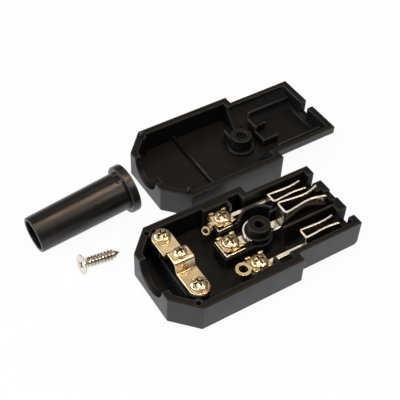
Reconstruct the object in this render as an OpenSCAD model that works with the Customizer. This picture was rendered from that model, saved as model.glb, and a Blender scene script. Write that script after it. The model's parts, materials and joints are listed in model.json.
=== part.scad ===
/* [Body] */
// Length of the grip body, from the cord end to the shoulder
body_len = 34.8; // [33:0.1:40]
// Width of the grip body
body_w = 28.5; // [28:0.1:32]
// Height of the lower shell, underside to parting plane
lower_h = 8.2; // [7.8:0.1:9]
// Height of the cover, outer face to parting plane
cover_h = 7.8; // [7.2:0.1:9]
// Side wall of the grip body
wall = 2; // [1.6:0.1:2.4]
// Floor of both shells
floor_t = 1.6; // [1.2:0.1:2]
// Corner cut at the cord end, along the body
corner_x = 6; // [4:0.1:7]
// Corner cut at the cord end, across the body
corner_y = 6.3; // [4:0.1:7]

/* [Nose] */
// Length of the plug nose in front of the shoulder
nose_len = 19.5; // [18:0.1:22]
// Width of the plug nose
nose_w = 23.4; // [23:0.1:24.4]
// Side wall of the nose
nose_wall = 1.5; // [1.2:0.1:1.8]
// End wall of the nose, which has the pin slots
face_t = 2; // [1.5:0.1:2.5]
// Step between the cover's outer face and its nose
nose_step = 0.4; // [0.2:0.1:1]
// Keying chamfer on the two earth-side corners of the nose
key_cut = 5.1; // [4:0.1:5.4]
// Ribs of the cover over the side contacts, out from the middle
over_y = 7.6; // [7:0.1:8.4]
// Height of those ribs
over_z = 5.5; // [5:0.1:7.4]
// Lead-in bevel under the tip of the nose
lead_in = 0.8; // [0.3:0.1:1.2]

/* [Pins] */
// Distance between the line and neutral pins
pin_pitch = 14; // [14:0.1:14.4]
// Width of a pin slot
slot_w = 2.8; // [2.4:0.1:3.2]
// Height of a pin and of its fork
pin_h = 4; // [3.6:0.1:4.2]
// Underside of the line and neutral forks above the underside
line_z = 3.8; // [3.7:0.1:4]
// Rise of the earth fork above the line forks
earth_rise = 4; // [3.8:0.1:4.2]
// Room left round a pin in the face
pin_clear = 0.3; // [0.2:0.05:0.5]

/* [Contacts] */
// Thickness of the contact strip
strip_t = 0.6; // [0.5:0.05:0.7]
// Thickness of the terminal end of a contact
plate_t = 0.8; // [0.7:0.05:1]
// Reach of the line and neutral forks
fork_len = 10.4; // [9:0.1:11]
// Reach of the earth fork, which mates first
earth_fork_len = 12.5; // [12:0.1:13]
// Half width of a fork at its bridge
fork_back = 1.35; // [1.2:0.05:1.5]
// Half width of the earth fork at its bridge
earth_back = 1.8; // [1.6:0.05:1.85]
// Half width of a fork where it grips
fork_pinch = 1.05; // [1:0.05:1.15]
// Gap between the fork tips and the end wall
tip_gap = 2.7; // [2:0.1:3]
// Width of the strip between terminal and fork
neck_w = 1.3; // [0.8:0.1:1.4]
// Inner side of that strip, out from the middle
neck_y = 8; // [7.8:0.05:8.3]
// Top of the earth contact's band round the boss
ring_z = 7.2; // [6.8:0.1:7.6]

/* [Terminals] */
// Line and neutral terminal screws, back from the shoulder
terminal_x = 9.3; // [9:0.1:10]
// Line and neutral terminal screws, out from the middle
terminal_y = 8.3; // [8.2:0.1:8.6]
// Earth terminal screw, back from the shoulder
earth_x = 12.3; // [11.8:0.1:13]
// Side of a square terminal clamp plate
clamp_side = 5.2; // [5:0.1:5.4]
// Margin of a contact's terminal plate round its clamp plate
plate_margin = 0.2; // [0.1:0.05:0.3]
// Height of the line and neutral terminal seats
seat_z = 4.8; // [4.6:0.1:5]
// Height of the earth terminal seat
earth_seat_z = 5.4; // [5.2:0.1:5.6]
// Radius of a terminal screw's shank
shank_r = 1.25; // [1.1:0.05:1.4]
// Radius of a terminal screw's head
head_r = 2.2; // [2:0.05:2.4]
// Height of a terminal screw's head
head_h = 1.5; // [1.3:0.1:1.8]
// Turned-up lips of a clamp plate
lip_h = 0.7; // [0.4:0.1:1]
// Outer radius of the line terminal's rolled wire eye
line_eye_r = 1.2; // [1:0.05:1.4]
// Length of the line terminal's rolled wire eye
line_eye_len = 2.2; // [2:0.1:3]
// Lean of the rolled wire eye's mouth, upwards
eye_lean = 25; // [0:1:40]
// Turn of the rolled wire eye's mouth, towards the middle
eye_turn = 30; // [0:1:40]
// Metal of the rolled wire eye
eye_t = 0.55; // [0.4:0.05:0.6]
// Outer radius of the neutral terminal's flat wire eye
neutral_eye_r = 2.05; // [1.8:0.05:2.2]
// Hole of the neutral terminal's flat wire eye
neutral_eye_hole = 1.1; // [0.9:0.05:1.3]
// Height of the neutral terminal's flat wire eye
neutral_eye_h = 1.1; // [0.8:0.1:1.4]

/* [Cord clamp] */
// Middle of the clamp strap, in from the cord end
clamp_in = 8.2; // [7.8:0.1:9]
// Width of the strap along the cord
strap_w = 5.5; // [5:0.1:6]
// Thickness of the strap
strap_t = 1; // [0.8:0.05:1.2]
// Half length of the strap
strap_reach = 11.3; // [11:0.1:11.8]
// Underside of the strap's flats above the underside
strap_z = 8; // [7.4:0.1:8.2]
// Rise of the strap's arch over the cord
arch_rise = 2.7; // [2.4:0.1:3.2]
// Half width over the arch at its flat top
arch_top = 2.05; // [1.9:0.05:2.3]
// Half width over the arch at its feet
arch_foot = 3.1; // [2.8:0.1:3.6]
// Radius of the strap's bends, on the inside
bend_r = 0.3; // [0.2:0.05:0.5]
// Clamp screws, out from the middle
clamp_screw_y = 8.5; // [8.3:0.1:8.8]
// Radius of the clamp screws' heads
clamp_head_r = 2.15; // [2:0.05:2.5]
// Length of the clamp screws below their heads
clamp_screw_len = 6; // [5:0.1:6.4]
// Radius of the cord pressure screw's head
press_head_r = 1.7; // [1.6:0.05:2]
// Length of the cord pressure screw below its head
press_screw_len = 2.6; // [2.2:0.1:3]
// Middle of the ridge under the cord, in from the cord end
ridge_in = 6.5; // [6.2:0.1:6.8]
// Ridge under the cord, thickness
ridge_t = 0.8; // [0.6:0.1:1.2]
// Ridge under the cord, top above the underside
ridge_z = 4.6; // [4:0.1:5]

/* [Housing screw] */
// Middle of the housing screw's boss, back from the shoulder
boss_x = 4; // [3.8:0.1:4.4]
// Radius of the boss in the lower shell
boss_r = 2.95; // [2.8:0.05:3]
// Height of the boss above the parting plane
boss_proud = 1.3; // [1:0.1:1.6]
// Length of the housing screw
screw_len = 10.6; // [9:0.1:12]
// Radius over the housing screw's thread
screw_r = 1.45; // [1.3:0.05:1.6]
// Radius of the housing screw's head
screw_head_r = 2.6; // [2.4:0.05:2.8]
// Height of the housing screw's cone head
screw_head_h = 1.5; // [1.2:0.1:1.8]
// Pitch of the housing screw's thread
screw_pitch = 0.9; // [0.7:0.05:1.1]

/* [Bend relief boot] */
// Length of the boot
boot_len = 27.7; // [24:0.1:32]
// Radius of the boot's flange
boot_flange_r = 6.55; // [6.3:0.05:7]
// Thickness of the boot's flange
boot_flange_t = 2.3; // [2:0.1:2.6]
// Radius of the boot next to its flange
boot_r = 5.25; // [5:0.05:5.4]
// Radius of the boot at its thin end
boot_tip_r = 4.8; // [4.7:0.05:5]
// Radius of the boot's bore, which the cord fills
boot_bore_r = 4; // [3.6:0.05:4.1]

/* [Laid out] */
// Cover, along from the lower shell
cover_at_x = 16.2; // [10:0.1:20]
// Cover, across from the lower shell
cover_at_y = 31.9; // [31:0.1:36]
// Turn of the cover on the bench
cover_turn = 0.8; // [-1:0.1:1]
// Boot's flange face, along from the shoulder
boot_at_x = -24.6; // [-26:0.1:-22]
// Boot's flange face, across from the middle
boot_at_y = 29.5; // [28:0.1:32]
// Turn of the boot on the bench
boot_turn = 3.1; // [0:0.1:5]
// Housing screw's head, along from the shoulder
screw_at_x = -45.4; // [-47:0.1:-45]
// Housing screw's head, across from the middle
screw_at_y = 15.4; // [15:0.1:17]

/* [Fits] */
// Running clearance of a shank in its hole
run_clear = 0.05; // [0.03:0.01:0.08]
// Seating clearance between loose pieces
seat_clear = 0.2; // [0.1:0.05:0.3]

/* [Hidden] */
$fn = 48;
eps = 0.01;
thin = 0.8;
peg_r = 0.5;
peg_h = 1.4;
clamp_x = body_len - clamp_in;
ridge_x = body_len - ridge_in;
peg_x = -body_len + corner_x - 0.1;
peg_y = body_w / 2 - 2.1;
post_r = norm([peg_x + clamp_x, peg_y - clamp_screw_y]) - strap_w / 2 - seat_clear;
inner_w = body_w - 2 * wall;
nose_inner_w = nose_w - 2 * nose_wall;
face_x = nose_len - face_t;
line_y = pin_pitch / 2;
fork_x = face_x - tip_gap - fork_len;
earth_fork_x = face_x - tip_gap - earth_fork_len;
earth_z = line_z + earth_rise;
total_h = lower_h + cover_h;
entry_r = boot_r + 0.05;
divider_y = earth_back + strip_t + 0.25;
pilot_r = screw_r - 0.3;
boss_top = lower_h + boss_proud;
collar_r = boss_r + 0.45;
seat_r = collar_r + 0.45;
plate_half = clamp_side / 2 + plate_margin;
seat_half = plate_half + seat_clear;
frame_half = seat_half + thin;
barrier_x = -2.2;
barrier_y = 1;
barrier_r = 6.2;
pillar_r = clamp_head_r + 0.55;
cover_boss_top = cover_h - boss_proud - seat_clear;
boot_tilt = atan((boot_flange_r - boot_tip_r) / (boot_len - boot_flange_t));
boot_at_z = boot_flange_t * sin(boot_tilt) + boot_flange_r * cos(boot_tilt);
screw_core_r = screw_r - 0.35;
screw_point = 1.8;
screw_rim_t = 0.2;
screw_body_len = screw_len - screw_point;
thread_from = screw_head_h + 0.4;
thread_turns = floor((screw_body_len - screw_rim_t - thread_from) / screw_pitch);
thread_to = thread_from + thread_turns * screw_pitch;
screw_tilt = atan((screw_head_r - screw_r) / (thread_to - screw_rim_t));
screw_at_z = screw_rim_t * sin(screw_tilt) + screw_head_r * cos(screw_tilt);

// Plan of the grip body, taken in by a wall t all round but at the shoulder
function body_plan(t) =
    let (h = norm([corner_x, corner_y]),
         cx = corner_x - t + t * (h - corner_x) / corner_y,
         cy = corner_y - t + t * (h - corner_y) / corner_x,
         x = -body_len + t,
         y = body_w / 2 - t)
    [[x, -y + cy], [x + cx, -y], [0, -y], [0, y], [x + cx, y], [x, y - cy]];

// Half width of a fork's arm at u from bridge (0) to tip (1): straight, pinched, then flared
function arm_half(u, back, pinch, grip = 0.64) =
    u < grip ? pinch + (back - pinch) * (1 + cos(180 * u / grip)) / 2
             : pinch + (back - pinch) * (1 - cos(110 * (u - grip) / (1 - grip)));

// One side of a fork's plan, moved out by t
function arm_side(len, back, pinch, t, from) =
    [for (i = [0 : 16]) let (u = i / 16) [max(from, u * len), arm_half(u, back, pinch) + t]];

function reversed(points) = [for (i = [len(points) - 1 : -1 : 0]) points[i]];

function mirrored(points) = [for (p = reversed(points)) [p.x, -p.y]];

function unit(v) = v / norm(v);

// Arc of radius r that rounds the corner b between a and c
function corner_arc(a, b, c, r) =
    let (u = unit(a - b), w = unit(c - b),
         half = acos(u * w) / 2,
         middle = b + unit(u + w) * r / sin(half),
         from = (b + u * r / tan(half) - middle) / r,
         to = (b + w * r / tan(half) - middle) / r,
         sweep = 180 - 2 * half)
    [for (i = [0 : 4]) middle + r * (sin(sweep * (1 - i / 4)) * from + sin(sweep * i / 4) * to) / sin(sweep)];

module block(x0, x1, y0, y1, z0, z1) {
    translate([x0, y0, z0]) cube([x1 - x0, y1 - y0, z1 - z0]);
}

module both_sides() {
    children();
    mirror([0, 1, 0]) children();
}

module along_x(x, y, z) {
    translate([x, y, z]) rotate([0, 90, 0]) children();
}

// Cross recess cut into a head whose top is at z = 0
module cross_recess(r, depth) {
    for (a = [0, 90]) rotate(a)
        translate([-r, -r * 0.21, -depth]) cube([2 * r, r * 0.42, depth + 1]);
    translate([0, 0, -depth * 1.2]) cylinder(h = depth + 1, r = r * 0.38);
}

// Pan head standing on z = 0, with its shank below
module pan_screw(hr, hh, sr, len) {
    difference() {
        union() {
            rotate_extrude()
                polygon(concat([[0, 0], [hr, 0], [hr, hh * 0.45]],
                    [for (a = [15 : 15 : 75])
                        [hr * cos(a) * 0.92 + hr * 0.08 * (1 - a / 90), hh * (0.45 + 0.55 * sin(a))]],
                    [[0, hh]]));
            translate([0, 0, -len]) cylinder(h = len + eps, r = sr);
        }
        translate([0, 0, hh]) cross_recess(hr * 0.58, hh * 0.5);
    }
}

// Bent fork on z = 0 with its bridge at x = 0
module fork(len, back, pinch, height) {
    outer = arm_side(len, back, pinch, strip_t / 2, 0);
    inner = arm_side(len, back, pinch, -strip_t / 2, strip_t);
    linear_extrude(height = height)
        difference() {
            polygon(concat(outer, mirrored(outer)));
            polygon(concat(inner, [[len + 1, inner[16].y]], [[len + 1, -inner[16].y]], mirrored(inner)));
        }
}

// Square end of a contact, under its clamp plate
module terminal_plate(x, y, z) {
    block(x - plate_half, x + plate_half, y - plate_half, y + plate_half, z, z + plate_t);
}

// Line contact, on the +Y side; the neutral one is its mirror image
module side_contact() {
    difference() {
        union() {
            terminal_plate(-terminal_x, terminal_y, seat_z);
            block(-terminal_x, fork_x + strip_t, neck_y, neck_y + neck_w, seat_z, seat_z + plate_t);
        }
        translate([-terminal_x, terminal_y, seat_z - 1]) cylinder(h = plate_t + 2, r = shank_r + run_clear);
    }
    translate([fork_x, line_y, line_z]) fork(fork_len, fork_back, fork_pinch, pin_h);
}

module line_contact() {
    color("silver") side_contact();
}

module neutral_contact() {
    color("silver") mirror([0, 1, 0]) side_contact();
}

// Earth contact: terminal plate, band on edge round the far side of the boss, foot and raised fork
module earth_contact() {
    plate_top = earth_seat_z + plate_t;
    band_r = collar_r + run_clear;
    link_half = earth_back - 2 * seat_clear;
    color("silver") {
        difference() {
            union() {
                terminal_plate(-earth_x, 0, earth_seat_z);
                block(-earth_x, -boss_x, -link_half, link_half, earth_seat_z, plate_top);
                translate([-boss_x, 0, earth_seat_z]) intersection() {
                    cylinder(h = ring_z - earth_seat_z, r = band_r + strip_t);
                    linear_extrude(height = pin_h)
                        polygon([[0, 0], [-6, -4], [-6, 6], [6, 6], [6, -2]]);
                }
                block(-boss_x, earth_fork_x + strip_t, -link_half, link_half, earth_seat_z, plate_top);
                block(earth_fork_x, earth_fork_x + strip_t, -link_half, link_half,
                      earth_seat_z, earth_z + eps);
            }
            translate([-earth_x, 0, earth_seat_z - 1]) cylinder(h = plate_t + 2, r = shank_r + run_clear);
            translate([-boss_x, 0, earth_seat_z - 1]) cylinder(h = pin_h, r = band_r);
        }
        translate([earth_fork_x, 0, earth_z]) fork(earth_fork_len, earth_back, fork_pinch, pin_h);
    }
}

// Square clamp plate with turned-up lips on two sides
module clamp_plate() {
    s = clamp_side / 2;
    difference() {
        union() {
            block(-s, s, -s, s, 0, plate_t);
            both_sides() block(-s, s, s - strip_t, s, 0, plate_t + lip_h);
        }
        translate([0, 0, -1]) cylinder(h = plate_t + 2, r = shank_r + run_clear);
        both_sides() block(-s * 0.45, s * 0.45, s - strip_t - eps, s + 1, plate_t, plate_t + lip_h + 1);
    }
}

// Its rolled eye stands in front of the plastic seat, on a tongue of the plate, with its mouth up to the cord
module line_clamp_plate() {
    eye_at = [-clamp_side / 2 - 1.6, -0.6, -0.1];
    color("gainsboro") translate([-terminal_x, terminal_y, seat_z + plate_t]) {
        clamp_plate();
        difference() {
            union() {
                translate(eye_at) rotate([0, eye_lean - 90, eye_turn])
                    cylinder(h = line_eye_len, r = line_eye_r);
                block(eye_at.x, -clamp_side / 2 + eps, eye_at.y - 0.2, eye_at.y + 1, 0, plate_t);
            }
            translate(eye_at) rotate([0, eye_lean - 90, eye_turn]) translate([0, 0, strip_t])
                cylinder(h = line_eye_len, r = line_eye_r - eye_t);
        }
    }
}

// Its eye is a ring in the plane of the plate
module neutral_clamp_plate() {
    color("gainsboro") translate([-terminal_x, -terminal_y, seat_z + plate_t]) {
        clamp_plate();
        translate([-clamp_side / 2 - neutral_eye_r + 0.2, 0.2, 0]) difference() {
            cylinder(h = neutral_eye_h, r = neutral_eye_r);
            translate([0, 0, -1]) cylinder(h = neutral_eye_h + 2, r = neutral_eye_hole);
        }
    }
}

module earth_clamp_plate() {
    color("gainsboro") translate([-earth_x, 0, earth_seat_z + plate_t]) clamp_plate();
}

module terminal_screw(x, y, seat) {
    color("gainsboro") translate([x, y, seat + 2 * plate_t]) pan_screw(head_r, head_h, shank_r, seat);
}

module line_terminal_screw() {
    terminal_screw(-terminal_x, terminal_y, seat_z);
}

module neutral_terminal_screw() {
    terminal_screw(-terminal_x, -terminal_y, seat_z);
}

module earth_terminal_screw() {
    terminal_screw(-earth_x, 0, earth_seat_z);
}

// One face of the strap, t above its underside, with its arch taken in by side
function strap_line(t, side) =
    let (foot = arch_foot - side, top = arch_top - side, high = arch_rise + t,
         low_r = bend_r + (t > 0 ? 0 : strap_t), high_r = bend_r + (t > 0 ? strap_t : 0),
         half = concat(corner_arc([-strap_reach, t], [-foot, t], [-top, high], low_r),
                       corner_arc([-foot, t], [-top, high], [top, high], min(high_r, top))))
    concat([[-strap_reach, t]], half, [for (p = reversed(half)) [-p.x, p.y]], [[strap_reach, t]]);

module cord_clamp_strap() {
    lean = (arch_foot - arch_top) / arch_rise;
    side = strap_t * (sqrt(1 + lean * lean) - lean);
    color("gainsboro") difference() {
        intersection() {
            translate([-clamp_x - strap_w / 2, 0, strap_z]) rotate([90, 0, 90])
                linear_extrude(height = strap_w) polygon(concat(strap_line(strap_t, 0), reversed(strap_line(0, side))));
            union() {
                block(-clamp_x - strap_w, -clamp_x + strap_w, -clamp_screw_y, clamp_screw_y, 0, total_h);
                both_sides() translate([-clamp_x, clamp_screw_y, 0]) cylinder(h = total_h, r = strap_w / 2);
            }
        }
        both_sides() translate([-clamp_x, clamp_screw_y, 0]) cylinder(h = total_h, r = shank_r + run_clear);
        translate([-clamp_x, 0, 0]) cylinder(h = total_h, r = shank_r + run_clear);
    }
}

module clamp_screw(y) {
    color("gainsboro") translate([-clamp_x, y, strap_z + strap_t])
        pan_screw(clamp_head_r, head_h, shank_r, clamp_screw_len);
}

module clamp_screw_left() {
    clamp_screw(clamp_screw_y);
}

module clamp_screw_right() {
    clamp_screw(-clamp_screw_y);
}

module cord_pressure_screw() {
    color("gainsboro") translate([-clamp_x, 0, strap_z + arch_rise + strap_t])
        pan_screw(press_head_r, head_h, shank_r, press_screw_len);
}

// Hollow of a shell's grip body and nose, from the floor up
module hollow(height, nose_floor) {
    translate([0, 0, floor_t]) linear_extrude(height = height) {
        intersection() {
            polygon(body_plan(wall));
            translate([-body_len, -body_w / 2]) square([body_len - wall, body_w]);
        }
    }
    block(-wall - eps, face_x, -nose_inner_w / 2, nose_inner_w / 2, nose_floor, height + floor_t);
}

// Round opening for the boot in the end wall, with its axis on the parting plane at height z
module boot_entry(z) {
    along_x(-body_len - 1, 0, z) cylinder(h = wall + 2, r = entry_r);
}

module lower_shell() {
    color([0.07, 0.07, 0.08]) difference() {
        union() {
            difference() {
                union() {
                    linear_extrude(height = lower_h) polygon(body_plan(0));
                    block(-eps, nose_len, -nose_w / 2, nose_w / 2, 0, lower_h);
                }
                hollow(lower_h, floor_t);
                // lead-in bevel under the tip
                translate([nose_len, 0, 0]) rotate([0, 45, 0])
                    cube([lead_in * sqrt(2), nose_w + 2, lead_in * sqrt(2)], center = true);
            }
            // ridge and pillars of the cord clamp
            block(-ridge_x - ridge_t / 2, -ridge_x + ridge_t / 2, -clamp_screw_y, clamp_screw_y, 0, ridge_z);
            both_sides() translate([-clamp_x, clamp_screw_y, 0]) cylinder(h = strap_z, r = pillar_r);
            // posts for the locating pegs
            both_sides() intersection() {
                translate([peg_x, peg_y, 0]) cylinder(h = lower_h, r = post_r);
                linear_extrude(height = lower_h) polygon(body_plan(eps));
            }
            // terminal seats
            both_sides() block(-terminal_x - seat_half, -terminal_x + seat_half, terminal_y - seat_half,
                               inner_w / 2 + eps, 0, seat_z);
            block(-earth_x - seat_half, -boss_x, -seat_half, seat_half, 0, earth_seat_z);
            // frame behind each side terminal
            both_sides() {
                block(-terminal_x - frame_half, -terminal_x + frame_half,
                      terminal_y + seat_half, inner_w / 2 + eps, 0, lower_h);
                block(-terminal_x + frame_half - thin, -terminal_x + frame_half,
                      neck_y + neck_w + seat_clear, inner_w / 2, 0, lower_h);
            }
            // boss and collar for the housing screw
            translate([-boss_x, 0, 0]) cylinder(h = earth_seat_z, r = seat_r);
            translate([-boss_x, 0, 0]) cylinder(h = ring_z - seat_clear, r = collar_r);
            translate([-boss_x, 0, 0]) cylinder(h = boss_top, r = boss_r);
            // curved barrier between the boss and the line contact
            barrier();
            // chamber walls and contact seats in the nose
            both_sides() {
                block(fork_x - 3, face_x + eps, divider_y, divider_y + thin, 0, lower_h);
                block(fork_x - 3.6, fork_x + strip_t, line_y - fork_back, line_y + fork_back,
                      0, line_z - seat_clear);
                block(face_x - 0.9, face_x + eps, divider_y, line_y - slot_w / 2, 0, lower_h);
            }
        }
        boot_entry(lower_h);
        // slots for the line and neutral pins, and the foot of the earth slot
        both_sides() block(face_x - 1, nose_len + 1, line_y - slot_w / 2, line_y + slot_w / 2,
                           line_z - pin_clear, total_h);
        block(face_x - 1, nose_len + 1, -slot_w / 2, slot_w / 2, earth_z - pin_clear, total_h);
        // screw holes
        translate([-boss_x, 0, floor_t]) cylinder(h = total_h, r = pilot_r);
        both_sides() translate([-clamp_x, clamp_screw_y, strap_z + strap_t - clamp_screw_len - seat_clear])
            cylinder(h = total_h, r = shank_r + run_clear);
        both_sides() translate([-terminal_x, terminal_y, 2 * plate_t - seat_clear])
            cylinder(h = total_h, r = shank_r + run_clear);
        translate([-earth_x, 0, 2 * plate_t - seat_clear]) cylinder(h = total_h, r = shank_r + run_clear);
        both_sides() translate([peg_x, peg_y, lower_h - peg_h - seat_clear])
            cylinder(h = total_h, r = peg_r + run_clear);
    }
}

module barrier() {
    translate([barrier_x, barrier_y, 0]) intersection() {
        difference() {
            cylinder(h = lower_h, r = barrier_r);
            translate([0, 0, -1]) cylinder(h = lower_h + 2, r = barrier_r - thin);
        }
        linear_extrude(height = lower_h) polygon([[0, 0], [8, 4.6], [8, 9], [-8, 9], [-8, 5.4]]);
    }
}

// Cover, lying on its outer face with its hollow up
module cover() {
    difference() {
        union() {
            difference() {
                union() {
                    linear_extrude(height = cover_h) polygon(body_plan(0));
                    cover_nose(-eps, nose_len);
                }
                hollow_cover();
            }
            both_sides() intersection() {
                translate([peg_x, peg_y, 0]) cylinder(h = cover_h, r = post_r);
                linear_extrude(height = cover_h) polygon(body_plan(eps));
            }
            both_sides() translate([peg_x, peg_y, 0]) cylinder(h = cover_h + peg_h, r = peg_r);
            intersection() {
                cover_ribs();
                union() {
                    linear_extrude(height = cover_h) polygon(body_plan(eps));
                    cover_nose(-eps, nose_len - eps);
                }
            }
        }
        boot_entry(cover_h);
        along_x(-body_len + wall, 0, cover_h)
            cylinder(h = boot_flange_t + seat_clear, r = boot_flange_r + seat_clear);
        block(face_x - 1, nose_len + 1, -slot_w / 2, slot_w / 2,
              total_h - earth_z - pin_h - pin_clear, total_h);
        translate([-boss_x, 0, -1]) cylinder(h = total_h, r = screw_r + run_clear);
        translate([-boss_x, 0, -eps])
            cylinder(h = screw_head_h, r1 = screw_head_r + seat_clear, r2 = screw_r + run_clear);
    }
}

// Ribs and walls that stand on the cover's floor
module cover_ribs() {
    gusset_x = -boss_x - boss_r + 0.2;
    bay_x = -body_len + 15.8;
    chamber_x = earth_fork_x - run_clear - 1;
    chamber_end = 6.5;
    chamber_half = 4.8;
    wall_top = 6;
    rib_top = total_h - earth_z - pin_h + 0.1;
    // rib across the wiring bay
    block(bay_x, bay_x + thin, -9, inner_w / 2, 0, floor_t + 1.2);
    // boss of the housing screw with its foot and gusset
    translate([-boss_x, 0, 0]) cylinder(h = cover_boss_top, r = boss_r);
    translate([-boss_x, 0, 0]) cylinder(h = floor_t + 1, r = seat_r);
    block(gusset_x, gusset_x + thin, 1.2, 5, 0, cover_boss_top - 1);
    // wall behind the earth fork, higher on the line side
    block(chamber_x, chamber_x + thin, -divider_y - thin, chamber_half, 0, rib_top);
    block(chamber_x, chamber_x + thin, thin, chamber_half, 0, wall_top);
    both_sides() {
        // sides of the earth fork's chamber
        block(chamber_x, chamber_end, divider_y, divider_y + thin, 0, rib_top);
        // ribs over the side contacts
        block(fork_x - 1, face_x + eps, over_y - thin / 2, over_y + thin / 2, 0, over_z);
    }
}

// Nose of the cover between two stations, with its keying chamfers; t takes in its sides
module cover_nose(x0, x1, t = 0) {
    rim_y = nose_w / 2 - t;
    low = nose_step + t;
    cut = key_cut - t * (2 - sqrt(2));
    translate([x0, 0, 0]) rotate([90, 0, 90]) linear_extrude(height = x1 - x0)
        polygon([[-rim_y + cut, low], [rim_y - cut, low], [rim_y, low + cut],
                 [rim_y, cover_h], [-rim_y, cover_h], [-rim_y, low + cut]]);
}

module hollow_cover() {
    translate([0, 0, floor_t]) linear_extrude(height = cover_h) {
        intersection() {
            polygon(body_plan(wall));
            translate([-body_len, -body_w / 2]) square([body_len - wall, body_w]);
        }
    }
    translate([0, 0, eps]) cover_nose(-wall - eps, face_x, nose_wall);
}

module upper_shell() {
    color([0.07, 0.07, 0.08]) translate([cover_at_x, cover_at_y, 0]) rotate(cover_turn) cover();
}

// Boot lying on the rims of its flange and its thin end
module bend_relief_boot() {
    color([0.06, 0.06, 0.06]) translate([boot_at_x, boot_at_y, boot_at_z]) rotate([0, 0, 180 + boot_turn])
        rotate([0, 90 + boot_tilt, 0]) difference() {
            union() {
                cylinder(h = boot_flange_t, r = boot_flange_r, $fn = 64);
                cylinder(h = boot_len, r1 = boot_r, r2 = boot_tip_r, $fn = 64);
            }
            translate([0, 0, -1]) cylinder(h = boot_len + 2, r = boot_bore_r);
        }
}

// Self-tapping screw lying on the rim of its head and its thread
module housing_screw() {
    color("gainsboro") translate([screw_at_x, screw_at_y, screw_at_z]) rotate([0, 90 + screw_tilt, 0]) difference() {
        union() {
            cylinder(h = screw_rim_t, r = screw_head_r);
            translate([0, 0, screw_rim_t]) cylinder(h = screw_head_h, r1 = screw_head_r, r2 = screw_core_r);
            cylinder(h = screw_body_len, r = screw_core_r);
            translate([0, 0, screw_body_len]) cylinder(h = screw_point, r1 = screw_core_r, r2 = 0.1);
            for (i = [0 : thread_turns]) translate([0, 0, thread_from + i * screw_pitch]) ridge_ring();
        }
        rotate([180, 0, 0]) cross_recess(screw_head_r * 0.55, 0.9);
    }
}

module ridge_ring() {
    rotate_extrude() polygon([[0, -0.25], [screw_core_r, -0.25], [screw_r, 0], [screw_core_r, 0.25], [0, 0.25]]);
}

lower_shell();
upper_shell();
bend_relief_boot();
housing_screw();
line_contact();
neutral_contact();
earth_contact();
line_clamp_plate();
neutral_clamp_plate();
earth_clamp_plate();
line_terminal_screw();
neutral_terminal_screw();
earth_terminal_screw();
cord_clamp_strap();
clamp_screw_left();
clamp_screw_right();
cord_pressure_screw();
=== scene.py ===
import bmesh
import bpy
import json
import math
from mathutils import Matrix, Vector
from mathutils.bvhtree import BVHTree


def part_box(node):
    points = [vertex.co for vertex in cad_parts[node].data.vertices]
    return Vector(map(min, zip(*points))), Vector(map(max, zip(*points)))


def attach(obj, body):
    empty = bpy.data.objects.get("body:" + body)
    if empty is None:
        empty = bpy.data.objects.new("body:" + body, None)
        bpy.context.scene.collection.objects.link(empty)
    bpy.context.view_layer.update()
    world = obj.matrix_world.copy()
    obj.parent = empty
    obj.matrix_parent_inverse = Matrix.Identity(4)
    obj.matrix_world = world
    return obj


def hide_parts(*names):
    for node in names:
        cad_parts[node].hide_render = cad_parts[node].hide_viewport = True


MM = 0.001
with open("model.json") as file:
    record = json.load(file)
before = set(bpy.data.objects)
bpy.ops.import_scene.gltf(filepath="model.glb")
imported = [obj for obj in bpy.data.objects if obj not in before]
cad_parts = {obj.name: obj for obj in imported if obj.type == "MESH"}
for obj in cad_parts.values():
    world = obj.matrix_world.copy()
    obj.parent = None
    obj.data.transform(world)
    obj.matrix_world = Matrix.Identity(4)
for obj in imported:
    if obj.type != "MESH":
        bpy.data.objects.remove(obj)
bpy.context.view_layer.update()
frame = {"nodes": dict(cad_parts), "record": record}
bpy.ops.object.select_all(action="DESELECT")
BODY_OF = {node: body for body, nodes in frame["record"]["behaviour"]["bodies"].items() for node in nodes}
SLOT_OF = {part["node"]: part["material_slot"] for part in frame["record"]["subparts"]}

# the view: its bearing, height and roll in degrees, and the point looked at, which is measured along from
# the lower shell's cord end and across from its middle line
LOWER_LO, LOWER_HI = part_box("lower_shell")
VIEW_AZIMUTH, VIEW_ELEVATION, VIEW_ROLL = -33.73, 46.87, 2.87
VIEW_DISTANCE = 229.5 * MM
VIEW_LENS = 77.34
VIEW_SENSOR = 36
AIM_ALONG = 27.3 * MM
AIM_ACROSS = 21.45 * MM

# the floor and the panels
FLOOR_SIZE = 3
FLOOR_DROP = 0.02 * MM
FLOOR_BURNT_OUT = 0.94
PANEL_DISTANCE = 0.6
PANEL_AIM = Vector((0, 15 * MM, 0))

# painted highlight along sharp edges, which are also made smoother, and painted shade in recesses
OCCLUSION_SAMPLES = 6
EDGE_HIGHLIGHT_REACH = 0.7 * MM
# the paler colour painted along sharp edges as a highlight
EDGE_HIGHLIGHT_COLOUR = (0.055, 0.053, 0.05)
RUBBED_ROUGH = 0.2
RECESS_SHADE_REACH = 0.9 * MM
# the dark colour painted into recesses as shade
RECESS_SHADE_COLOUR = (0.03, 0.022, 0.015)

# how far the edges of each piece are eased
EASE = {
    "lower_shell": 0.25 * MM, "upper_shell": 0.25 * MM, "bend_relief_boot": 0.3 * MM,
    "line_contact": 0.16 * MM, "neutral_contact": 0.16 * MM, "earth_contact": 0.16 * MM,
    "line_clamp_plate": 0.12 * MM, "neutral_clamp_plate": 0.15 * MM, "earth_clamp_plate": 0.12 * MM,
    "line_terminal_screw": 0.1 * MM, "neutral_terminal_screw": 0.1 * MM, "earth_terminal_screw": 0.1 * MM,
    "cord_clamp_strap": 0.35 * MM, "clamp_screw_left": 0.1 * MM, "clamp_screw_right": 0.1 * MM,
    "cord_pressure_screw": 0.1 * MM,
}
EASE_SEGMENTS = 2
SHARP_ANGLE = 30
SMOOTH_ANGLE = 35
FLAT_ANGLE = 1

# a gap too small to be meant, over which points are merged
HAIR = 0.001 * MM

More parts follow.
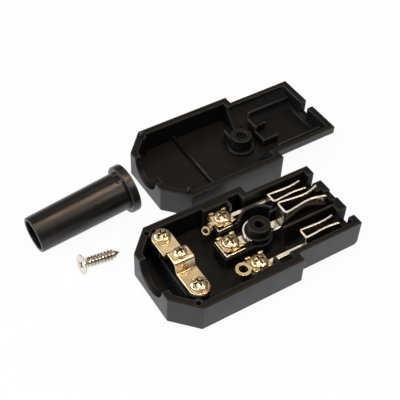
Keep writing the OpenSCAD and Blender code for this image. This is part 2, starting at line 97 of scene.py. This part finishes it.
# the outer side of a shell: the faces that look up less than this, with none of the shell before them, which
# get a lighter copy of the plastic as painted light
OUTSIDE_UP = 0.5
OUTSIDE_LIFT = 0.05 * MM

# the bends of the forks: upright edges over a set height, well behind the forks' tips
BEND_OUTER_R = 1 * MM
BEND_INNER_R = 0.4 * MM
BEND_SEGMENTS = 5
BEND_ANGLE = 60
BEND_LEAN = 0.01 * MM
BEND_HEIGHT = 3 * MM
BEND_FROM_TIP = 8 * MM

# the housing screw, which is made standing on the face of its head
SCREW_LO, SCREW_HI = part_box("housing_screw")
SCREW_HEAD_R = (SCREW_HI.y - SCREW_LO.y) / 2
SCREW_HEAD_H = 1.5 * MM
SCREW_RIM = 0.2 * MM
SCREW_R = 1.45 * MM
SCREW_LEN = 10.6 * MM
SCREW_TAPER = 1.8 * MM
SCREW_POINT_H = 0.25 * MM
SCREW_POINT_R = 0.35 * MM
SCREW_POINT_END_R = 0.1 * MM
SCREW_SIDES = 64

THREAD_DEPTH = 0.35 * MM
THREAD_PITCH = 0.9 * MM
THREAD_TURNS = 8
THREAD_STEPS = 28
THREAD_FROM = SCREW_HEAD_H + 0.4 * MM
THREAD_TO = THREAD_FROM + (THREAD_TURNS - 1) * THREAD_PITCH
RUN_OUT_TURNS = (0.05, 0.4, 0.75)
RUN_OUT_TAPER = 0.92
CORE_R = SCREW_R - THREAD_DEPTH

CROSS_SPAN = 2.9 * MM
CROSS_WIDTH = 0.6 * MM
CROSS_HIGH = 1.9 * MM
CROSS_MIDDLE = 0.1 * MM
CROSS_TAPER = 0.45


# ---------------------------------------------------------------- camera, floor and light

def look_from(azimuth, elevation, roll, distance, target):
    """Matrix of a camera that looks at target from the given bearing, turned by roll about its view."""
    a, e, r = (math.radians(v) for v in (azimuth, elevation, roll))
    back = Vector((math.sin(a) * math.cos(e), -math.cos(a) * math.cos(e), math.sin(e)))
    right = (-back).cross(Vector((0, 0, 1))).normalized()
    up = back.cross(right)
    turned_right = math.cos(r) * right + math.sin(r) * up
    turned_up = back.cross(turned_right)
    place = Matrix((turned_right, turned_up, back)).transposed().to_4x4()
    place.translation = target + back * distance
    return place


def make_camera():
    data = bpy.data.cameras.new("camera")
    data.sensor_width = VIEW_SENSOR
    data.lens = VIEW_LENS
    data.clip_start = 10 * MM
    cam = bpy.data.objects.new("camera", data)
    bpy.context.collection.objects.link(cam)
    middle = (LOWER_LO.y + LOWER_HI.y) / 2
    target = Vector((LOWER_LO.x + AIM_ALONG, middle + AIM_ACROSS, LOWER_LO.z))
    cam.matrix_world = look_from(VIEW_AZIMUTH, VIEW_ELEVATION, VIEW_ROLL, VIEW_DISTANCE, target)
    bpy.context.scene.camera = cam


def white_glow(n):
    """Light of plain white, which renders as white."""
    glow = n.new("ShaderNodeEmission")
    glow.inputs["Color"].default_value = (1, 1, 1, 1)
    glow.inputs["Strength"].default_value = 1
    return glow.outputs[0]


def mix_shaders(n, link, share, first, second):
    """The first shader where share is 0, and the second where it is 1."""
    mix = n.new("ShaderNodeMixShader")
    link.new(share, mix.inputs[0])
    link.new(first, mix.inputs[1])
    link.new(second, mix.inputs[2])
    return mix.outputs[0]


def make_floor():
    """White paper, lit until it burns out, which the pieces mirror as white too."""
    bpy.ops.mesh.primitive_plane_add(size=FLOOR_SIZE, location=(0, 0, -FLOOR_DROP))
    floor = bpy.context.object
    floor.name = "floor"
    m = bpy.data.materials.new("white_paper")
    m.use_nodes = True
    n, link = m.node_tree.nodes, m.node_tree.links
    n.clear()
    out = n.new("ShaderNodeOutputMaterial")
    paper = n.new("ShaderNodeBsdfDiffuse")
    paper.inputs["Color"].default_value = (0.97, 0.97, 0.97, 1)
    path = n.new("ShaderNodeLightPath")
    share = n.new("ShaderNodeMath")
    share.operation = "MULTIPLY"
    share.inputs[1].default_value = FLOOR_BURNT_OUT
    link.new(path.outputs["Is Camera Ray"], share.inputs[0])
    seen = mix_shaders(n, link, share.outputs[0], paper.outputs[0], white_glow(n))
    mirrored = mix_shaders(n, link, path.outputs["Is Glossy Ray"], seen, white_glow(n))
    link.new(mirrored, out.inputs["Surface"])
    floor.data.materials.append(m)


def make_world():
    """A dim warm room, with a white backdrop past the end of the paper."""
    world = bpy.data.worlds.new("studio")
    world.use_nodes = True
    n, link = world.node_tree.nodes, world.node_tree.links
    room = n["Background"]
    room.inputs["Color"].default_value = (0.30, 0.25, 0.21, 1)
    room.inputs["Strength"].default_value = 0.45
    backdrop = n.new("ShaderNodeBackground")
    backdrop.inputs["Color"].default_value = (1, 1, 1, 1)
    backdrop.inputs["Strength"].default_value = 1
    path = n.new("ShaderNodeLightPath")
    seen = mix_shaders(n, link, path.outputs["Is Camera Ray"], room.outputs[0], backdrop.outputs[0])
    link.new(seen, n["World Output"].inputs["Surface"])
    bpy.context.scene.world = world


def add_panel(name, size, direction, radiance, colour):
    """A lit panel in the given direction from the object, with its brightness as the object sees it."""
    data = bpy.data.lights.new(name, "AREA")
    data.shape = "RECTANGLE"
    data.size, data.size_y = size
    data.energy = radiance * math.pi * size[0] * size[1]
    data.color = colour
    lamp = bpy.data.objects.new(name, data)
    bpy.context.collection.objects.link(lamp)
    lamp.location = PANEL_AIM + Vector(direction).normalized() * PANEL_DISTANCE
    lamp.rotation_euler = Vector(direction).to_track_quat("Z", "Y").to_euler()


def make_lights():
    # behind, where the flat metal mirrors it to the camera
    add_panel("back_panel", size=(0.36, 0.24), direction=(0.379, 0.568, 0.73), radiance=0.75,
              colour=(1, 0.92, 0.81))
    # behind on the left, for the rounded edges across the shells
    add_panel("side_panel", size=(0.4, 0.24), direction=(-0.6, 0.6, 0.53), radiance=2.6,
              colour=(1, 0.96, 0.9))
    # over the front right, for the front edges of the rims
    add_panel("warm_lamp", size=(0.22, 0.10), direction=(0.38, -0.45, 0.8), radiance=13,
              colour=(1, 0.82, 0.66))
    # overhead, for the streak along the boot
    add_panel("bulb", size=(0.26, 0.05), direction=(0.11, 0.04, 0.99), radiance=25,
              colour=(1, 0.74, 0.52))
    # high on the near side, for the even light of the room
    add_panel("ceiling", size=(0.4, 0.4), direction=(-0.35, -0.35, 0.87), radiance=1.3,
              colour=(0.95, 0.97, 1))
    # low on the left, for the end walls
    add_panel("window", size=(0.5, 0.42), direction=(-0.9, 0.1, 0.35), radiance=2.9,
              colour=(0.9, 0.95, 1))


# ---------------------------------------------------------------- finishes

def finish_of(name):
    """A new material, its nodes and links, and its shader."""
    m = bpy.data.materials.new(name)
    m.use_nodes = True
    return m, m.node_tree.nodes, m.node_tree.links, m.node_tree.nodes["Principled BSDF"]


def noise(n, link, coords, scale, detail=2.0, rough=0.5):
    """Noise of scale grains to a metre."""
    t = n.new("ShaderNodeTexNoise")
    t.inputs["Scale"].default_value = scale
    t.inputs["Detail"].default_value = detail
    t.inputs["Roughness"].default_value = rough
    link.new(coords, t.inputs["Vector"])
    return t.outputs["Fac"]


def stretched(n, link, coords, scale):
    """Coordinates scaled along each axis: a pattern is drawn out along the axis with the least."""
    m = n.new("ShaderNodeMapping")
    m.inputs["Scale"].default_value = scale
    link.new(coords, m.inputs["Vector"])
    return m.outputs["Vector"]


def spread(n, link, value, low, high, start=0.3, end=0.7):
    """Maps the span from start to end, in which most noise lies, to the span from low to high."""
    r = n.new("ShaderNodeMapRange")
    r.inputs["From Min"].default_value = start
    r.inputs["From Max"].default_value = end
    r.inputs["To Min"].default_value = low
    r.inputs["To Max"].default_value = high
    link.new(value, r.inputs["Value"])
    return r.outputs["Result"]


def blend_colours(n, link, value, a, b):
    """Colour that goes from a to b as value goes from 0 to 1. Each is a colour or a node's output."""
    mix = n.new("ShaderNodeMix")
    mix.data_type = "RGBA"
    for socket, colour in ((mix.inputs["A"], a), (mix.inputs["B"], b)):
        if isinstance(colour, tuple):
            socket.default_value = (*colour, 1)
        else:
            link.new(colour, socket)
    link.new(value, mix.inputs["Factor"])
    return mix.outputs["Result"]


def bumped(n, link, height, strength, distance, normal=None):
    """A surface raised by height times distance, on top of the unevenness in normal."""
    b = n.new("ShaderNodeBump")
    b.inputs["Strength"].default_value = strength
    b.inputs["Distance"].default_value = distance
    link.new(height, b.inputs["Height"])
    if normal:
        link.new(normal, b.inputs["Normal"])
    return b.outputs["Normal"]


def openness(n, link, reach, inside=False):
    """How open the surface lies within reach, from 0 to 1, seen from outside or from inside the piece."""
    around = n.new("ShaderNodeAmbientOcclusion")
    around.samples = OCCLUSION_SAMPLES
    around.inside = inside
    around.only_local = True
    around.inputs["Distance"].default_value = reach
    return around.outputs["AO"]


def painted_recess_shade(n, link, colour, reach, depth):
    """Paints shade into a colour where the surface is closed in, as in a recess or a bore."""
    power = n.new("ShaderNodeMath")
    power.operation = "POWER"
    power.inputs[1].default_value = depth
    link.new(openness(n, link, reach), power.inputs[0])
    return blend_colours(n, link, power.outputs[0], RECESS_SHADE_COLOUR, colour)


def edge_of(n, link, reach):
    """How close a surface is to a sharp outer edge, from 0 to 1."""
    return spread(n, link, openness(n, link, reach, inside=True), 0, 1, start=0.9, end=0.5)


def moulded_plastic(name, dark, light, rough, grain, gloss=0.5):
    """Black moulded plastic: fine spark-eroded grain, faint flow marks, and a painted highlight along sharp
    edges, which are also made smoother.
    """
    m, n, link, shader = finish_of(name)
    shader.inputs["Specular IOR Level"].default_value = gloss
    coords = n.new("ShaderNodeTexCoord").outputs["Object"]
    flow = noise(n, link, stretched(n, link, coords, (1, 3, 3)), scale=60, detail=3)
    mottle = noise(n, link, coords, scale=220, detail=4, rough=0.6)
    edge_highlight_mask = n.new("ShaderNodeMath")
    edge_highlight_mask.operation = "MULTIPLY"
    link.new(edge_of(n, link, EDGE_HIGHLIGHT_REACH), edge_highlight_mask.inputs[0])
    link.new(spread(n, link, mottle, 0.5, 1), edge_highlight_mask.inputs[1])
    body = blend_colours(n, link, spread(n, link, flow, 0, 1), dark, light)
    # painted highlight: sharp edges get a paler colour
    highlighted = blend_colours(n, link, edge_highlight_mask.outputs[0], body, EDGE_HIGHLIGHT_COLOUR)
    link.new(highlighted, shader.inputs["Base Color"])
    polish = n.new("ShaderNodeMix")
    polish.inputs["B"].default_value = RUBBED_ROUGH
    link.new(edge_highlight_mask.outputs[0], polish.inputs["Factor"])
    link.new(spread(n, link, mottle, rough - 0.05, rough + 0.06), polish.inputs["A"])
    link.new(polish.outputs["Result"], shader.inputs["Roughness"])
    sparks = noise(n, link, coords, scale=9000, detail=1)
    waves = noise(n, link, coords, scale=160, detail=1)
    fine = bumped(n, link, sparks, strength=grain, distance=0.02 * MM)
    wavy = bumped(n, link, waves, strength=0.15, distance=0.3 * MM, normal=fine)
    link.new(wavy, shader.inputs["Normal"])
    return m


def plated_metal(name, dark, light, rough, dent=0.15, draw=(1, 1, 1)):
    """Bright plating over stamped or headed metal, with fine drawing marks along draw's weak axis, and
    painted shade in its recesses.
    """
    m, n, link, shader = finish_of(name)
    shader.inputs["Metallic"].default_value = 1
    coords = n.new("ShaderNodeTexCoord").outputs["Object"]
    cloud = noise(n, link, coords, scale=500, detail=3)
    colour = blend_colours(n, link, spread(n, link, cloud, 0, 1), dark, light)
    # painted shade in the recesses and bores
    link.new(painted_recess_shade(n, link, colour, RECESS_SHADE_REACH, depth=2), shader.inputs["Base Color"])
    marks = noise(n, link, stretched(n, link, coords, draw), scale=6000, detail=3, rough=0.6)
    link.new(spread(n, link, marks, rough - 0.04, rough + 0.06), shader.inputs["Roughness"])
    dents = noise(n, link, coords, scale=1100)
    fine = bumped(n, link, marks, strength=0.06, distance=0.03 * MM)
    dented = bumped(n, link, dents, strength=dent, distance=0.08 * MM, normal=fine)
    link.new(dented, shader.inputs["Normal"])
    return m


def make_finishes():
    """The finish for each of the part's material slots, and a lighter copy of the shell plastic for the
    outer side of the shells, as painted light.
    """
    return {
        # the shell plastic is the darker copy: painted shade for the hollows and rims
        "shell_plastic": moulded_plastic(
            "shell_plastic", dark=(0.002, 0.002, 0.002), light=(0.005, 0.005, 0.005),
            rough=0.55, grain=0.35, gloss=0.22),
        # the lighter, smoother copy for the open outer sides: painted light
        "shell_outside_lit": moulded_plastic(
            "shell_outside_lit", dark=(0.006, 0.007, 0.009), light=(0.011, 0.012, 0.014),
            rough=0.36, grain=0.3),
        "boot_plastic": moulded_plastic(
            "boot_plastic", dark=(0.004, 0.004, 0.004), light=(0.008, 0.007, 0.006),
            rough=0.32, grain=0.2),
        "contact_metal": plated_metal(
            "contact_metal", dark=(0.84, 0.79, 0.69), light=(0.98, 0.95, 0.88),
            rough=0.18, dent=0.2, draw=(1, 1, 12)),
        "clamp_metal": plated_metal(
            "clamp_metal", dark=(0.69, 0.54, 0.33), light=(0.95, 0.79, 0.52),
            rough=0.24, dent=0.4),
        "screw_steel": plated_metal(
            "screw_steel", dark=(0.76, 0.62, 0.38), light=(0.97, 0.87, 0.65),
            rough=0.24, dent=0.9),
        "zinc_steel": plated_metal(
            "zinc_steel", dark=(0.68, 0.63, 0.55), light=(0.92, 0.88, 0.80), rough=0.28),
    }


# ---------------------------------------------------------------- pieces

def select_only(o):
    bpy.ops.object.select_all(action="DESELECT")
    o.select_set(True)
    bpy.context.view_layer.objects.active = o


def shade(o):
    """Smooth over the eased edges, with the flat faces left flat."""
    bpy.ops.object.shade_smooth_by_angle(angle=math.radians(SMOOTH_ANGLE))
    w = o.modifiers.new("flat_faces", "WEIGHTED_NORMAL")
    w.keep_sharp = True
    bpy.ops.object.modifier_apply(modifier=w.name)


def stand_for(o, node):
    """The finished piece takes the node's place."""
    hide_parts(node)
    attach(o, BODY_OF[node])


def round_bends(o):
    """Rounds the upright corners where a contact's strip is bent to make its fork, in edit mode."""
    tip = max(v.co.x for v in o.data.vertices)
    bpy.ops.mesh.select_mode(type="EDGE")
    for outer, radius in ((True, BEND_OUTER_R), (False, BEND_INNER_R)):
        mesh = bmesh.from_edit_mesh(o.data)
        for edge in mesh.edges:
            start, end = (v.co for v in edge.verts)
            along = end - start
            upright = along.xy.length < BEND_LEAN and along.length > BEND_HEIGHT and edge.is_manifold
            bend = edge.calc_face_angle_signed(0) if upright else 0
            at_bridge = start.x < tip - BEND_FROM_TIP
            edge.select_set(at_bridge and abs(bend) > math.radians(BEND_ANGLE) and (bend > 0) == outer)
        bmesh.update_edit_mesh(o.data)
        bpy.ops.mesh.bevel(offset=radius, segments=BEND_SEGMENTS, affect="EDGES", clamp_overlap=False)
    bpy.ops.mesh.select_mode(type="VERT")


def mark_outer_edges(o):
    """Marks the sharp edges that stand out for easing, in edit mode, and leaves inner corners sharp."""
    mesh = bmesh.from_edit_mesh(o.data)
    eased = mesh.edges.layers.float.new("bevel_weight_edge")
    sharp = math.radians(SHARP_ANGLE)
    for edge in mesh.edges:
        edge[eased] = float(edge.is_manifold and edge.calc_face_angle_signed(0) > sharp)
    bmesh.update_edit_mesh(o.data)


def eased_copy(node, width):
    """A copy of a node with its sharp edges eased, which stands for it."""
    source = frame["nodes"][node]
    o = source.copy()
    o.data = source.data.copy()
    o.name = node + "_finished"
    bpy.context.collection.objects.link(o)
    o.parent = None
    o.matrix_world = Matrix.Identity(4)
    select_only(o)
    bpy.ops.object.mode_set(mode="EDIT")
    bpy.ops.mesh.select_all(action="SELECT")
    bpy.ops.mesh.remove_doubles(threshold=2 * HAIR)
    bpy.ops.mesh.dissolve_limited(angle_limit=math.radians(FLAT_ANGLE), delimit={"NORMAL"})
    if node.endswith("_contact"):
        round_bends(o)
    mark_outer_edges(o)
    bpy.ops.object.mode_set(mode="OBJECT")
    b = o.modifiers.new("eased", "BEVEL")
    b.width = width
    b.segments = EASE_SEGMENTS
    b.limit_method = "WEIGHT"
    b.miter_outer = "MITER_ARC"
    b.use_clamp_overlap = False
    bpy.ops.object.modifier_apply(modifier=b.name)
    bpy.ops.object.mode_set(mode="EDIT")
    bpy.ops.mesh.select_all(action="SELECT")
    bpy.ops.mesh.remove_doubles(threshold=HAIR)
    bpy.ops.mesh.dissolve_degenerate(threshold=HAIR)
    bpy.ops.object.mode_set(mode="OBJECT")
    shade(o)
    stand_for(o, node)
    return o


def paint_outside_lit(o):
    """The shells' open outer sides get a lighter, smoother copy of their plastic, a painted lit side; their
    hollows and rims keep the darker, matt plastic as painted shade.
    """
    shape = o.data
    shape.materials.append(FINISHES["shell_outside_lit"])
    tree = BVHTree.FromPolygons([v.co for v in shape.vertices], [list(f.vertices) for f in shape.polygons])
    for face in shape.polygons:
        start = face.center + face.normal * OUTSIDE_LIFT
        if face.normal.z < OUTSIDE_UP and tree.ray_cast(start, face.normal)[0] is None:
            face.material_index = 1


def select_band(o, low, high):
    """Selects the vertices of o from height low to high, in edit mode."""
    mesh = bmesh.from_edit_mesh(o.data)
    for v in mesh.verts:
        v.select_set(low <= v.co.z <= high)
    mesh.select_flush_mode()
    bmesh.update_edit_mesh(o.data)


def pull_up(o, height, radius, top, last):
    """Draws the top ring of a turned solid, of radius last, up by height and in to the given radius."""
    select_band(o, top - HAIR, top + HAIR)
    bpy.ops.mesh.extrude_region_move(TRANSFORM_OT_translate={"value": (0, 0, height)})
    share = radius / last
    bpy.ops.transform.resize(value=(share, share, 1), center_override=(0, 0, top + height))


def screw_blank():
    """Head, shank and point of the housing screw."""
    bpy.ops.object.select_all(action="DESELECT")
    bpy.ops.mesh.primitive_cylinder_add(vertices=SCREW_SIDES, radius=SCREW_HEAD_R, depth=SCREW_RIM,
                                        location=(0, 0, SCREW_RIM / 2))
    o = bpy.context.object
    o.name = "housing_screw_threaded"
    bpy.ops.object.transform_apply(location=True)
    bpy.ops.object.mode_set(mode="EDIT")
    steps = [(SCREW_HEAD_H, CORE_R), (SCREW_LEN - SCREW_TAPER - SCREW_RIM - SCREW_HEAD_H, CORE_R),
             (SCREW_TAPER - SCREW_POINT_H, SCREW_POINT_R), (SCREW_POINT_H, SCREW_POINT_END_R)]
    top, last = SCREW_RIM, SCREW_HEAD_R
    for height, radius in steps:
        pull_up(o, height, radius, top, last)
        top += height
        last = radius
    bpy.ops.object.mode_set(mode="OBJECT")
    return o


def cut_recess(o):
    """Cross recess in the face of the head, with arms that narrow towards the bottom."""
    for turn in (0, 90):
        bpy.ops.object.select_all(action="DESELECT")
        bpy.ops.mesh.primitive_cube_add(size=1, location=(0, 0, CROSS_MIDDLE))
        arm = bpy.context.object
        arm.scale = (CROSS_SPAN, CROSS_WIDTH, CROSS_HIGH)
        arm.rotation_euler.z = math.radians(turn)
        bpy.ops.object.transform_apply(location=True, rotation=True, scale=True)
        bpy.ops.object.mode_set(mode="EDIT")
        select_band(arm, CROSS_MIDDLE, CROSS_HIGH)
        bpy.ops.transform.resize(value=(CROSS_TAPER, CROSS_TAPER, 1), center_override=(0, 0, 0))
        bpy.ops.object.mode_set(mode="OBJECT")
        select_only(o)
        cut = o.modifiers.new("recess", "BOOLEAN")
        cut.operation = "DIFFERENCE"
        cut.solver = "EXACT"
        cut.object = arm
        bpy.ops.object.modifier_apply(modifier=cut.name)
        bpy.data.objects.remove(arm)


def screw_thread():
    """Coarse thread: a sharp ridge wound round the shank, which runs out on the point."""
    bpy.ops.object.select_all(action="DESELECT")
    bpy.ops.mesh.primitive_circle_add(vertices=3, radius=THREAD_DEPTH, location=(CORE_R, 0, THREAD_FROM),
                                      rotation=(math.pi / 2, math.pi / 2, 0))
    o = bpy.context.object
    bpy.ops.object.transform_apply(location=True, rotation=True)
    wound = o.modifiers.new("wound", "SCREW")
    wound.axis = "Z"
    wound.screw_offset = THREAD_PITCH
    wound.iterations = THREAD_TURNS
    wound.steps = wound.render_steps = THREAD_STEPS
    wound.use_normal_calculate = True
    bpy.ops.object.modifier_apply(modifier=wound.name)
    bpy.ops.object.mode_set(mode="EDIT")
    bpy.ops.mesh.select_all(action="DESELECT")
    bpy.ops.mesh.select_non_manifold()
    bpy.ops.mesh.fill()
    bpy.ops.mesh.select_all(action="SELECT")
    bpy.ops.mesh.normals_make_consistent(inside=False)
    for turns_on in RUN_OUT_TURNS:
        select_band(o, THREAD_TO + turns_on * THREAD_PITCH, SCREW_LEN)
        bpy.ops.transform.resize(value=(RUN_OUT_TAPER, RUN_OUT_TAPER, 1), center_override=(0, 0, THREAD_TO))
    bpy.ops.object.mode_set(mode="OBJECT")
    return o


def threaded_screw(node):
    """The loose housing screw with a helical thread, lying where its plain solid lies."""
    blank = screw_blank()
    cut_recess(blank)
    thread = screw_thread()
    select_only(blank)
    thread.select_set(True)
    bpy.ops.object.join()
    # it lies on the rim of its head and on the crest of its last thread
    drop = math.atan((SCREW_HEAD_R - SCREW_R) / (THREAD_TO - SCREW_RIM))
    blank.rotation_euler.y = math.pi / 2 + drop
    blank.location = (SCREW_LO.x + SCREW_HEAD_R * math.sin(drop), (SCREW_LO.y + SCREW_HI.y) / 2,
                      SCREW_HI.z - SCREW_HEAD_R * math.cos(drop))
    bpy.ops.object.transform_apply(location=True, rotation=True)
    shade(blank)
    blank.data.materials.append(FINISHES[SLOT_OF[node]])
    stand_for(blank, node)


FINISHES = make_finishes()
make_camera()
make_floor()
make_world()
make_lights()
for node_name, node_object in frame["nodes"].items():
    node_object.data.materials.clear()
    node_object.data.materials.append(FINISHES[SLOT_OF[node_name]])
for node_name, ease in EASE.items():
    finished = eased_copy(node_name, ease)
    if SLOT_OF[node_name] == "shell_plastic":
        paint_outside_lit(finished)
threaded_screw("housing_screw")

bpy.context.scene.view_settings.view_transform = "Standard"
